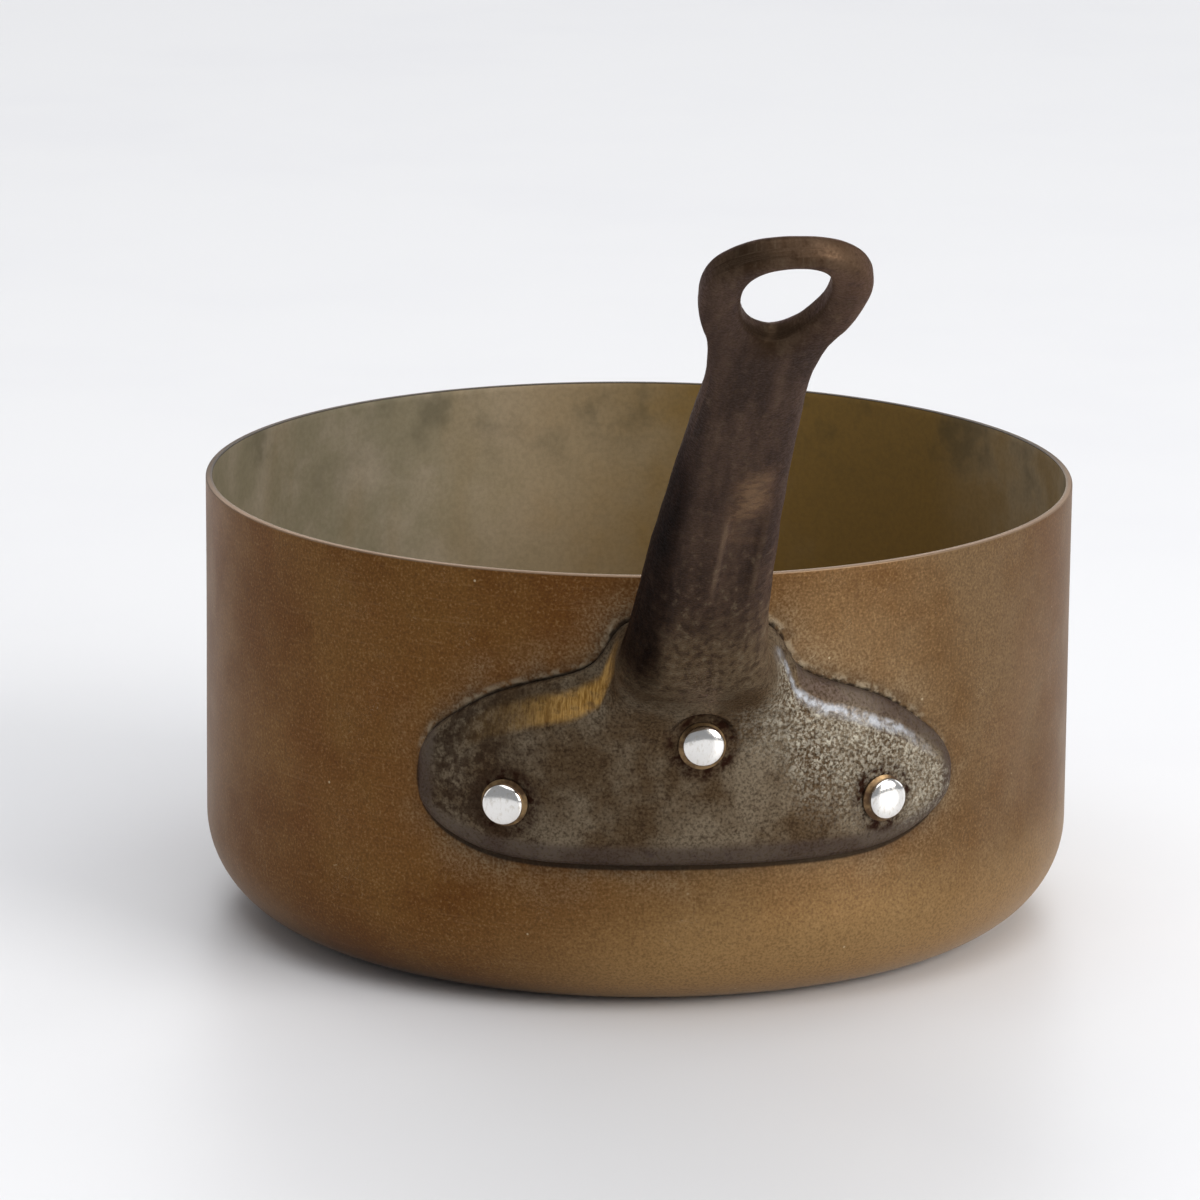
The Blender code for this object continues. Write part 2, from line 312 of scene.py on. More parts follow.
def copper_profile():
    """Section of the cup: out along its base, up the wall, over the rim and back down inside."""
    inside = PAN_RADIUS - COPPER_THICKNESS
    turn = (PAN_RADIUS - CORNER_RADIUS, CORNER_RADIUS)
    base_edge = (turn[0], 0.0)
    rim_turn = (PAN_RADIUS - COPPER_RIM_ROUND, PAN_HEIGHT - COPPER_RIM_ROUND)
    rim = arc_points(rim_turn, COPPER_RIM_ROUND, 0.0, pi / 2, RIM_STEPS)
    inside_top, inside_foot = (inside, PAN_HEIGHT), (inside, CORNER_RADIUS)
    return [
        (0.0, 0.0),
        *straight((0.0, 0.0), base_edge, BASE_STEPS),
        *arc_points(turn, CORNER_RADIUS, -pi / 2, 0.0, CORNER_STEPS),
        *straight((PAN_RADIUS, CORNER_RADIUS), rim[0], WALL_STEPS),
        *rim,
        inside_top,
        *straight(inside_top, inside_foot, WALL_STEPS),
        *arc_points(turn, CORNER_RADIUS - COPPER_THICKNESS, 0.0, -pi / 2, HIDDEN_CORNER_STEPS),
        (0.0, COPPER_THICKNESS),
    ]


pan_body = add_piece("copper_cup", dented(turned(copper_profile(), PAN_STEPS)), copper_finish())
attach(pan_body, "root")
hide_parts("pan_body")

# ---- Lining ----
# A thin grey cooking surface bonded to the copper all over the inside. Its cut edge is the pale
# line along the inner side of the rim, and years of food have stained it in soft grey-olive clouds.

LINING_THICKNESS = 0.00038
LINING_GAP = 0.00001
LINING_RIM_ROUND = 0.00014
LINING_RIM_STEPS = 4


def lining_finish():
    """Dull lining metal: grey, with painted light and shade across the inside wall, paler in the middle
    and olive brown on the right, and a dull cut edge.
    """
    material, tree, shader, place = new_finish("stained_lining", metallic=0.5, roughness=0.55)
    across, _, height = add(tree, "ShaderNodeSeparateXYZ", {0: place}).outputs
    mottle = clouds(tree, place, 0.020, 4.0)
    drips = clouds(tree, place, 0.014, stretch=(1, 1, 0.3))
    stain = clouds(tree, place, 0.016, 4.0)
    grain = clouds(tree, place, 0.0009)
    grey = mixed(tree, between(tree, mottle, 0.35, 0.65), tone(130, 122, 100), tone(152, 141, 122))
    ragged_across = maths(tree, "MULTIPLY_ADD", mottle, 0.07, across)
    right_end = between(tree, across, 0.062, 0.079)
    ashen = times(tree, right_end, between(tree, stain, 0.35, 0.65, 0.3, 0.7))
    under_rim = between(tree, height, PAN_HEIGHT - 0.022, PAN_HEIGHT - 0.004)
    smoked = times(tree, between(tree, stain, 0.50, 0.70, 0.0, 0.5), under_rim)
    edge = between(tree, height, PAN_HEIGHT - 0.00022, PAN_HEIGHT - 0.00008)
    colour = painted(
        tree, grey,
        (between(tree, drips, 0.5, 0.75, 0.0, 0.4), tone(128, 110, 78)),
        # Painted light and shade across the inside wall: paler and warmer towards the middle, olive brown
        # on the right.
        (between(tree, across, -0.045, 0.005, 0.0, 0.8), tone(170, 149, 116)),
        (between(tree, ragged_across, 0.02, 0.075), tone(148, 119, 66)),
        (ashen, tone(196, 182, 158)),
        (smoked, tone(78, 74, 56)),
        (between(tree, grain, 0.3, 0.7, 0.18, 0.0), tone(84, 74, 54)),
        (edge, rim_colour(tree, place, tone(142, 124, 104))),
    )
    tree.links.new(colour, shader.inputs["Base Color"])
    raise_surface(tree, shader, (mottle, 0.00006), (grain, 0.00002))
    return material


def lining_profile():
    """Section of the lining: down its outer side from the rim, and back up inside."""
    outside = PAN_RADIUS - COPPER_THICKNESS - LINING_GAP
    inside = outside - LINING_THICKNESS
    under = COPPER_THICKNESS + LINING_GAP
    turn = (PAN_RADIUS - CORNER_RADIUS, CORNER_RADIUS)
    rim_turn = (inside + LINING_RIM_ROUND, PAN_HEIGHT - LINING_RIM_ROUND)
    rim = arc_points(rim_turn, LINING_RIM_ROUND, pi / 2, pi, LINING_RIM_STEPS)
    foot = (inside, CORNER_RADIUS)
    floor_height = under + LINING_THICKNESS
    return [
        (0.0, under),
        *arc_points(turn, outside - turn[0], -pi / 2, 0.0, HIDDEN_CORNER_STEPS),
        *straight((outside, CORNER_RADIUS), (outside, PAN_HEIGHT), WALL_STEPS),
        (outside, PAN_HEIGHT),
        *rim,
        *straight(rim[-1], foot, WALL_STEPS),
        *arc_points(turn, inside - turn[0], 0.0, -pi / 2, CORNER_STEPS),
        *straight((turn[0], floor_height), (0.0, floor_height), BASE_STEPS),
        (0.0, floor_height),
    ]


lining = lining_finish()
pan_lining = add_piece("grey_lining", dented(turned(lining_profile(), PAN_STEPS)), lining)
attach(pan_lining, "root")
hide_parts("pan_lining")

# ---- Handle ----
# One iron casting: a flange bent to the pan's wall, a bar that rises from it, and a teardrop loop
# to hang it by. It was cast in sand, so its skin is finely pitted, and its flange was filed to
# a bevel along its upper edges before it went on.

# The flange: arcs run along the wall from its middle, and heights up it.
WALL_GAP = 0.00035
FLANGE_THICKNESS = 0.0032
FLANGE_EDGE = 0.0015
ARC_RADIUS = 0.082
TOP_SKEW = 0.035
# (arc, bottom edge, lower bevel line, upper bevel line, top edge)
FLANGE_COLUMNS = (
    (0.0, 0.0291, 0.0328, 0.0665, 0.0745),
    (0.0072, 0.0291, 0.0328, 0.0662, 0.0743),
    (0.0144, 0.0291, 0.0328, 0.0648, 0.0728),
    (0.0172, 0.0291, 0.0328, 0.0598, 0.0655),
    (0.0215, 0.0291, 0.0328, 0.0570, 0.0629),
    (0.0290, 0.0292, 0.0330, 0.0542, 0.0607),
    (0.0375, 0.0301, 0.0339, 0.0508, 0.0577),
    (0.0445, 0.0326, 0.0360, 0.0469, 0.0530),
    (0.0490, 0.0357, 0.0381, 0.0455, 0.0496),
    (0.0512, 0.0395, 0.0406, 0.0436, 0.0451),
)
FLANGE_ROWS = (0.35, 0.64, 0.80)
ROOT_COLUMNS = 2
ROOT_ROWS = 2
ROOT_FILLET = 0.0017

# The bar rises at one angle. It leans to the left, and a bow takes that back until BOW_REACH.
BAR_RISE = radians(32.5)
BAR_START = (-0.0018, -0.0840, 0.0632)
BAR_LEAN = 0.0855
BAR_BOW = 0.195
BOW_REACH = 0.165
# (reach along the bar, half width, half thickness, turn of the section back towards the wall)
BAR_STATIONS = (
    (0.007, 0.0139, 0.0049, radians(-12)),
    (0.016, 0.0129, 0.0053, radians(-4)),
    (0.030, 0.0120, 0.0054, 0.0),
    (0.050, 0.0112, 0.0052, 0.0),
    (0.070, 0.01075, 0.0049, 0.0),
    (0.092, 0.0099, 0.0045, 0.0),
    (0.114, 0.0092, 0.0040, 0.0),
    (0.134, 0.0087, 0.0034, 0.0),
    (0.150, 0.00815, 0.0030, 0.0),
    (0.160, 0.0083, 0.0028, 0.0),
    (0.1705, 0.0096, 0.0026, 0.0),
)

# The loop, and the two limbs that spread to it.
LOOP_CENTRE = 0.1945
LOOP_HALF_WIDTH = 0.0132
LOOP_LENGTH = 0.0142
EYE_HALF_WIDTH = 0.0066
EYE_LENGTH = 0.0100
LOOP_HALF_THICKNESS = 0.0023
# (reach along the bar, outer half width, half width of the eye, half thickness)
LIMB_STATIONS = (
    (0.1755, 0.0107, 0.0030, 0.0025),
    (0.181, 0.0118, 0.0056, 0.0024),
    (0.188, 0.0128, 0.0066, 0.0023),
)
LIMB_TURNS = (radians(0), radians(26), radians(50), radians(73))

# How the casting's cage stands out from the rounded shape that it makes.
CAST_LEVELS = 3
BACK_CREASE = 0.7
CORNER_PULL = 0.90
SIDE_SWELL = 1.04
EDGE_PULL = 0.80
FACE_SWELL = 1.12
LIMB_MID = 1.2
LIMB_EDGE = 0.85

# Where the bar leaves the flange and where its limbs part, the step is rubbed down.
# Each blend is (reach, passes, how far through the bar its points lie at most).
ROOT_BLEND_MIDDLE = (-0.0018, -0.0850, 0.0600)
ROOT_BLENDS = ((0.020, 30, 0.0005), (0.016, 40, 0.0005), (0.012, 40, 0.0005))
FORK_REACH = 0.1750
FORK_BLEND = (0.0060, 50, 0.02)

# The sand's unevenness, as (depth, size). It fades out towards the flange's back, which fits the wall.
CAST_WAVES = ((0.00016, 0.011), (0.00005, 0.0026))
WAVES_OFF_WALL = (WALL_GAP + 0.0004, WALL_GAP + 0.0014)

# A shallow groove worn into the bar's underside. Its sides slope between two shares of its half width.
GROOVE_START, GROOVE_END = 0.060, 0.103
GROOVE_FADE = 0.005
GROOVE_SIDE = 0.0034
GROOVE_HALF_WIDTH = 0.0033
GROOVE_SLOPE = (0.6, 1.1)
GROOVE_DEPTH = 0.0008

# Where the rivets go through, as (angle, height), and the flat seat filed round each.
RIVET_PLACES = {
    "rivet_left": (radians(-23.5), 0.0403),
    "rivet_top": (radians(0.3), 0.0516),
    "rivet_right": (radians(23.8), 0.0394),
}
SEAT_RADIUS = 0.0056
SEAT_SLOPE = 0.0009
SEAT_CUT = 0.012
# The flange's front is divided once within each of these radii, out to a distance off the wall.
FINE_RADII = (SEAT_RADIUS + 0.003, SEAT_RADIUS + 0.0015)
FINE_OFF_WALL = 0.012

# What each point of the casting keeps for its finish: how it is worn, where highlight and shade are
# painted on it, and where it is on the bar.
CASTING_MARKS = (
    "filed", "pitted", "low_rim", "crest", "sooty", "flank", "under", "along", "across"
)
# Where it is worn, filed or dirty, and where highlight and shade are painted. A pair is a smooth step,
# and four numbers are a band that rises over the first two and falls over the last two. Arcs and heights
# lie on the flange.
FLANGE_OFF_WALL = (0.0045, 0.0085)
FILED_ARC = (-0.044, -0.036, -0.0175, -0.0125)
FILED_BRIGHT_ARC = (-0.036, -0.020)
FILED_FAINT = 0.15
FILED_BELOW_TOP = (0.0016, 0.0036, 0.0066, 0.0082)
PITTED_ARC = (0.002, 0.014)
PITTED_BELOW_TOP = (0.0042, 0.0066, 0.012, 0.030)
BEVEL_INSET = 0.0004
BEVEL_WIDTH = (0.0026, 0.0044)
TOP_BEVEL_ARC = (-0.018, -0.012)
# CREST_ARC and CREST_BELOW_TOP place a thin line along the upper right bevel, where a highlight is
# painted.
CREST_ARC = (0.010, 0.016, 0.036, 0.048)
CREST_BELOW_TOP = (0.0034, 0.0045, 0.0050, 0.0068)
SOOTY_ARC = (0.022, 0.040)
# FLANK_ACROSS, FLANK_ALONG and FLANK_OFF_WALL place the bar's left side, where shade is painted.
FLANK_ACROSS = (0.0042, 0.0085)
FLANK_ALONG = (-0.002, 0.026, 0.110, 0.150)
FLANK_OFF_WALL = (0.004, 0.009)
UNDER_THROUGH = (0.0, 0.0015)


def on_wall(arc, height, off):
    """A point this far off the pan's wall, at an arc from the handle's middle."""
    angle = arc / ARC_RADIUS
    out = PAN_RADIUS + off
    return Vector((out * sin(angle), -out * cos(angle), height))


def bar_lean(reach):
    """How far to the left of its start the bar's middle line lies at this reach."""
    bowed = min(reach, BOW_REACH)
    return BAR_LEAN * reach - BAR_BOW * bowed * (2 * reach - bowed)


def in_bar(reach, across, through, turn=0.0):
    """A point in the bar: along it from its start, across it, and through it towards its top face."""
    out = reach * cos(BAR_RISE) - through * sin(BAR_RISE + turn)
    up = reach * sin(BAR_RISE) + through * cos(BAR_RISE + turn)
    return Vector(BAR_START) + Vector((across - bar_lean(reach), -out, up))


def from_bar(point):
    """The same three measures of a point, read back: reach, across and through."""
    away = point - Vector(BAR_START)
    reach = -away.y * cos(BAR_RISE) + away.z * sin(BAR_RISE)
    through = away.y * sin(BAR_RISE) + away.z * cos(BAR_RISE)
    return reach, away.x + bar_lean(reach), through


def is_vert(element):
    return isinstance(element, bmesh.types.BMVert)


def is_face(element):
    return isinstance(element, bmesh.types.BMFace)


def draw_out(builder, ends, place):
    """Extrudes the casting's end faces, and sets each new point by the column and row it carries."""
    column, row = (builder.verts.layers.float[name] for name in ("column", "row"))
    grown = bmesh.ops.extrude_face_region(builder, geom=ends)["geom"]
    bmesh.ops.delete(builder, geom=ends, context="FACES")
    for point in filter(is_vert, grown):
        point.co = place(point[column], point[row])
    return list(filter(is_face, grown))


def cast_flange(builder):
    """Lays the flange's grid on the wall and raises its front, bevelled down to a thin edge all round."""
    column, row = (builder.verts.layers.float.new(name) for name in ("column", "row"))
    columns = [(-arc, *heights) for arc, *heights in reversed(FLANGE_COLUMNS[1:])]
    columns += FLANGE_COLUMNS
    last = len(columns) - 1
    top = len(FLANGE_ROWS) + 3

    def place(i, j, off):
        arc, bottom, low, high, crest = columns[round(i)]
        rows = [bottom, low, *(low + (high - low) * share for share in FLANGE_ROWS), high, crest]
        return on_wall(arc, rows[round(j)] - TOP_SKEW * arc * j / top, WALL_GAP + off)

    def place_front(i, j):
        at_edge = i in (0, last) or j in (0, top)
        at_root = abs(i - last / 2) <= ROOT_COLUMNS and j == top - ROOT_ROWS
        off = FLANGE_EDGE if at_edge else FLANGE_THICKNESS
        return place(i, j, off + ROOT_FILLET if at_root else off)

    grid = bmesh.ops.create_grid(builder, x_segments=last, y_segments=top, size=0.5)["verts"]
    for point in grid:
        point[column] = round((point.co.x + 0.5) * last)
        point[row] = round((point.co.y + 0.5) * top)
        point.co = place(point[column], point[row], 0.0)
    back = list(builder.faces)
    front = bmesh.ops.extrude_face_region(builder, geom=back)["geom"]
    for point in filter(is_vert, front):
        point.co = place_front(point[column], point[row])
    bmesh.ops.reverse_faces(builder, faces=back)
    crease = builder.edges.layers.float.new("crease_edge")
    for edge in builder.edges:
        if sum(face in back for face in edge.link_faces) == 1:
            edge[crease] = BACK_CREASE
    return list(filter(is_face, front)), last, top


def cast_bar(builder, front, last, top):
    """Draws the bar out of the flange's middle columns and upper rows."""
    column, row = (builder.verts.layers.float[name] for name in ("column", "row"))
    middle = last / 2
    root = [
        face for face in front
        if all(abs(p[column] - middle) <= ROOT_COLUMNS for p in face.verts)
        and all(p[row] >= top - ROOT_ROWS for p in face.verts)
    ]
    for point in {p for face in root for p in face.verts}:
        point[column] = (point[column] - middle) / ROOT_COLUMNS
        point[row] = point[row] - top + ROOT_ROWS / 2
    ends = root
    for reach, half_width, half_thickness, turn in BAR_STATIONS:

        def place(i, j):
            across = i * half_width * (CORNER_PULL if j else SIDE_SWELL)
            through = j * half_thickness * (EDGE_PULL if abs(i) == 1 else FACE_SWELL)
            return in_bar(reach, across, through, turn)

        ends = draw_out(builder, ends, place)
    return ends


def cast_loop(builder, ends):
    """Splits the bar's end into two limbs, draws them round the eye, and joins them at the tip."""
    column = builder.verts.layers.float["column"]
    halves = [[f for f in ends if side * sum(p[column] for p in f.verts) > 0] for side in (-1, 1)]
    tips = []
    for side, limb in zip((-1, 1), halves):
        for reach, outer, inner, half_thickness in LIMB_STATIONS:

            def place(i, j):
                across = inner + (outer - inner) * abs(i)
                through = j * half_thickness * (LIMB_MID if abs(i) == 0.5 else LIMB_EDGE)
                return in_bar(reach, side * across, through)

            limb = draw_out(builder, limb, place)
        for angle in LIMB_TURNS:

            def place(i, j):
                width = EYE_HALF_WIDTH + (LOOP_HALF_WIDTH - EYE_HALF_WIDTH) * abs(i)
                length = EYE_LENGTH + (LOOP_LENGTH - EYE_LENGTH) * abs(i)
                through = j * LOOP_HALF_THICKNESS * (LIMB_MID if abs(i) == 0.5 else LIMB_EDGE)
                reach = LOOP_CENTRE + length * sin(angle)
                return in_bar(reach, side * width * cos(angle), through)

            limb = draw_out(builder, limb, place)
        tips.append(limb)
    edges = []
    for limb in tips:
        faces = set(limb)
        edges += [e for f in limb for e in f.edges if not set(e.link_faces) <= faces]
    bmesh.ops.delete(builder, geom=[f for limb in tips for f in limb], context="FACES")
    bmesh.ops.bridge_loops(builder, edges=edges)


def rounded_casting():
    """The whole casting, smoothed and ready to be worked on as a fine mesh."""
    builder = bmesh.new()
    front, last, top = cast_flange(builder)
    cast_loop(builder, cast_bar(builder, front, last, top))
    bmesh.ops.recalc_face_normals(builder, faces=builder.faces)
    rough = add_piece("rough_casting", builder)
    smooth = rough.modifiers.new("cast_round", "SUBSURF")
    smooth.levels = smooth.render_levels = CAST_LEVELS
    evaluated = rough.evaluated_get(bpy.context.evaluated_depsgraph_get())
    fine = bmesh.new()
    fine.from_mesh(evaluated.to_mesh())
    bpy.data.objects.remove(rough)
    return fine


def rivet_axis(angle, height):
    """Where a rivet's axis leaves the pan's axis, and the way it points."""
    return Vector((0, 0, height)), Vector((sin(angle), -cos(angle), 0.0))


def from_axis(point, axis):
    """How far a point lies from a rivet's axis, and how far out along it."""
    start, way = axis
    out = (point - start).dot(way)
    return (point - start - way * out).length, out


def step(value, low, high):
    """0 at low or under, 1 at high or over, and smooth between."""
    share = min(max((value - low) / (high - low), 0.0), 1.0)
    return share * share * (3 - 2 * share)


def band(value, start, full, fade, end):
    """1 from full to fade, 0 outside start and end, and smooth between."""
    return step(value, start, full) * (1 - step(value, fade, end))


def refine_seats(builder, axes):
    """Divides the flange's front finely round the rivets, so that their seats have clean edges."""
    for fine_radius in FINE_RADII:
        edges = [
            edge for edge in builder.edges
            if any(
                radius < fine_radius and out > PAN_RADIUS + FLANGE_EDGE
                for radius, out in (from_axis(edge.verts[0].co, axis) for axis in axes)
            )
            and hypot(edge.verts[0].co.x, edge.verts[0].co.y) < PAN_RADIUS + FINE_OFF_WALL
        ]
        bmesh.ops.subdivide_edges(builder, edges=edges, cuts=1, smooth=0.0, use_grid_fill=True)


def rub_down(builder, middle, reach, passes, highest):
    """Smooths the casting round one place, on its outside and no further through the bar than this."""
    near = [
        point for point in builder.verts
        if (point.co - middle).length < reach
        and hypot(point.co.x, point.co.y) > PAN_RADIUS + WALL_GAP + FLANGE_EDGE
        and from_bar(point.co)[2] < highest
    ]
    for _ in range(passes):
        bmesh.ops.smooth_vert(
            builder, verts=near, factor=0.5, use_axis_x=True, use_axis_y=True, use_axis_z=True
        )


def blend_casting(builder):
    """Rubs down the step where the bar leaves the flange, and the fork where its limbs part."""
    for blend in ROOT_BLENDS:
        rub_down(builder, Vector(ROOT_BLEND_MIDDLE), *blend)
    rub_down(builder, in_bar(FORK_REACH, 0.0, 0.0), *FORK_BLEND)


def work_casting(builder, axes):
    """Moves the fine mesh's points: the sand's waves, the groove and the rivets' flat seats."""
    builder.normal_update()
    seat = PAN_RADIUS + WALL_GAP + FLANGE_THICKNESS
    for point in builder.verts:
        off_wall = hypot(point.co.x, point.co.y) - PAN_RADIUS
        waves = sum(depth * noise.noise(point.co / size) for depth, size in CAST_WAVES)
        moved = point.normal * waves * step(off_wall, *WAVES_OFF_WALL)
        along, across, through = from_bar(point.co)
        if through < 0 and GROOVE_START < along < GROOVE_END:
            ends = band(
                along, GROOVE_START, GROOVE_START + GROOVE_FADE, GROOVE_END - GROOVE_FADE, GROOVE_END
            )
            side = 1 - step(abs(across - GROOVE_SIDE) / GROOVE_HALF_WIDTH, *GROOVE_SLOPE)
            moved -= point.normal * GROOVE_DEPTH * ends * side
        for axis in axes:
            radius, out = from_axis(point.co + moved, axis)
            if radius < SEAT_RADIUS + SEAT_SLOPE and seat < out < seat + SEAT_CUT:
                share = 1 - step(radius, SEAT_RADIUS, SEAT_RADIUS + SEAT_SLOPE)
                moved += axis[1] * (seat - out) * share
        point.co += moved


def edge_heights(arc):
    """The flange's bottom and top edges at this arc, with the top's skew."""
    side = [(a, bottom, top) for a, bottom, low, high, top in FLANGE_COLUMNS]
    if abs(arc) >= side[-1][0]:
        bottom = top = (side[-1][1] + side[-1][2]) / 2
    for (a, bottom_a, top_a), (b, bottom_b, top_b) in zip(side, side[1:]):
        if a <= abs(arc) <= b:
            share = (abs(arc) - a) / (b - a)
            bottom = bottom_a + (bottom_b - bottom_a) * share
            top = top_a + (top_b - top_a) * share
    return bottom, top - TOP_SKEW * arc


def write_mark(piece, name, values):
    """Keeps one number for each point of a piece, for its finish to read."""
    piece.data.attributes.new(name, "FLOAT", "POINT").data.foreach_set("value", values)


def casting_marks(place):
    """A point's CASTING_MARKS, in their order."""
    arc = atan2(place.x, -place.y) * ARC_RADIUS
    off_wall = hypot(place.x, place.y) - PAN_RADIUS
    on_flange = 1 - step(off_wall, *FLANGE_OFF_WALL)
    bottom, top = edge_heights(arc)
    below = top - place.z
    along, across, through = from_bar(place)
    filed = band(arc, *FILED_ARC) * (FILED_FAINT + (1 - FILED_FAINT) * step(arc, *FILED_BRIGHT_ARC))
    filed *= band(below, *FILED_BELOW_TOP) * on_flange
    pitted = step(arc, *PITTED_ARC) * band(below, *PITTED_BELOW_TOP) * on_flange
    bevel = min(place.z - bottom, FLANGE_COLUMNS[-1][0] - abs(arc)) - BEVEL_INSET
    if arc > 0:
        bevel = min(bevel, below + step(-arc, *TOP_BEVEL_ARC))
    low_rim = (1 - step(bevel, *BEVEL_WIDTH)) * on_flange
    crest = band(arc, *CREST_ARC) * band(below, *CREST_BELOW_TOP) * on_flange
    sooty = step(-arc, *SOOTY_ARC) * on_flange * (1 - low_rim)
    flank = step(-across, *FLANK_ACROSS) * band(along, *FLANK_ALONG) * step(off_wall, *FLANK_OFF_WALL)
    under = step(-through, *UNDER_THROUGH)
    return filed, pitted, low_rim, crest, sooty, flank, under, along, across


def mark_casting(piece):
    """Keeps every point's marks on the finished casting."""
    columns = zip(*(casting_marks(vertex.co) for vertex in piece.data.vertices))
    for name, values in zip(CASTING_MARKS, list(columns)):
        write_mark(piece, name, values)


def bar_coats(tree, iron):
    """The bar: scoured low down, speckled, then dark with runs along it, and paler and tan on the loop's
    right as a painted highlight.
    """
    runs = mixed(tree, between(tree, iron.runs, 0.35, 0.65), tone(48, 36, 26), tone(74, 61, 50))
    specks = clouds(tree, iron.on_bar, 0.0013, 4.0, stretch=(1, 0.35, 0.3))
    low = between(tree, iron.along, -0.002, 0.014)
    scoured = times(tree, low, between(tree, iron.cloud, 0.35, 0.60, 0.45, 0.75))
    speckled = times(
        tree, between(tree, iron.along, 0.0, 0.014), between(tree, iron.along, 0.050, 0.100, 1.0, 0.25)
    )
    # Painted highlight: the loop paler and tan towards its right.
    loop_highlight = times(
        tree, between(tree, iron.along, 0.165, 0.200, 0.0, 0.55),
        between(tree, iron.across, -0.010, 0.006, 0.1, 1.0),
        between(tree, iron.cloud, 0.35, 0.60, 0.5, 1.0),
    )
    return [
        (scoured, tone(118, 102, 80)),
        (between(tree, iron.ragged_along, 0.045, 0.090), runs),
        (times(tree, speckled, between(tree, specks, 0.36, 0.52, 0.6, 0.0)), tone(40, 31, 23)),
        (times(tree, speckled, between(tree, specks, 0.54, 0.68, 0.0, 0.4)), tone(138, 126, 106)),
        (loop_highlight, tone(98, 78, 62)),
    ]


def skin_coats(tree, iron):
    """The casting's skin: dark scale all over, and pores and bright points, fewer up the bar."""
    pores = times(tree, iron.skin, between(tree, iron.grain, 0.34, 0.56, 0.55, 0.0))
    points = times(tree, iron.skin, between(tree, iron.grain, 0.58, 0.76, 0.0, 0.3))
    return [
        (between(tree, iron.scale, 0.56, 0.66, 0.0, 0.5), tone(48, 35, 26)),
        (pores, tone(36, 27, 20)),
        (points, tone(142, 128, 106)),
    ]


def flange_coats(tree, iron):
    """The flange: sooty at its left end, a painted sparkle on the pits on its right, a painted highlight
    along its crest, and one bevel filed to gold.
    """
    soot = times(tree, iron.sooty, between(tree, iron.scale, 0.40, 0.56, 0.15, 0.75))
    # Painted sparkle: pale points on the pits of the right lobe, standing in for light glinting off them.
    bright = times(
        tree, iron.pitted, between(tree, iron.coarse, 0.42, 0.62, 0.0, 0.9),
        between(tree, iron.scale, 0.3, 0.6, 1.0, 0.5),
    )
    bevel = times(tree, iron.low_rim, between(tree, iron.grain, 0.35, 0.6, 0.2, 0.7))
    filed = times(tree, iron.filed, between(tree, iron.scale, 0.50, 0.66, 1.0, 0.6))
    gold = mixed(tree, between(tree, iron.files, 0.3, 0.7), tone(130, 94, 45), tone(188, 148, 85))
    # Painted highlight: a pale bluish line along the crest of the right bevel.
    painted_glint = times(tree, iron.crest, between(tree, iron.scale, 0.40, 0.60, 0.85, 0.2))
    return [
        (soot, tone(46, 34, 26)),
        (bright, tone(186, 180, 163)),
        (bevel, tone(68, 60, 60)),
        (filed, gold),
        (painted_glint, tone(168, 172, 178)),
    ]


def groove_coats(tree, iron):
    """Lighter lines along the groove's edges, and the tan patch worn at its upper end."""
    aside = maths(tree, "ABSOLUTE", maths(tree, "SUBTRACT", iron.across, GROOVE_SIDE))
    from_line = maths(tree, "ABSOLUTE", maths(tree, "SUBTRACT", aside, GROOVE_HALF_WIDTH))
    line = times(
        tree, iron.under, between(tree, from_line, 0.0001, 0.0008, 0.22, 0.0),
        between(tree, iron.along, GROOVE_START - 0.004, GROOVE_START + 0.012),
        between(tree, iron.along, GROOVE_END - 0.008, GROOVE_END + 0.004, 1.0, 0.0),
        between(tree, iron.runs, 0.35, 0.60, 0.4, 1.0),
    )
    patch = times(
        tree, iron.under, between(tree, aside, 0.0005, 0.0050, 0.42, 0.0),
        between(tree, iron.ragged_along, GROOVE_END + 0.008, GROOVE_END + 0.030),
        between(tree, iron.ragged_along, GROOVE_END + 0.030, GROOVE_END + 0.046, 1.0, 0.0),
        between(tree, iron.scale, 0.35, 0.60, 0.4, 1.0),
    )
    return [(line, tone(150, 130, 108)), (patch, tone(158, 128, 98))]


def rivet_rings(tree, place, iron):
    """The dark rings of old grease round the rivets."""
    nearest = 1.0
    for angle, height in RIVET_PLACES.values():
        centre = on_wall(angle * ARC_RADIUS, height, WALL_GAP + FLANGE_THICKNESS)
        apart = {0: place, 1: centre}
        radius = add(tree, "ShaderNodeVectorMath", apart, operation="DISTANCE").outputs["Value"]
        nearest = maths(tree, "MINIMUM", radius, nearest)
    ragged = between(tree, iron.scale, 0.38, 0.60, 1.0, 0.15)
    return times(tree, between(tree, nearest, 0.0054, 0.0074, 1.0, 0.0), ragged)


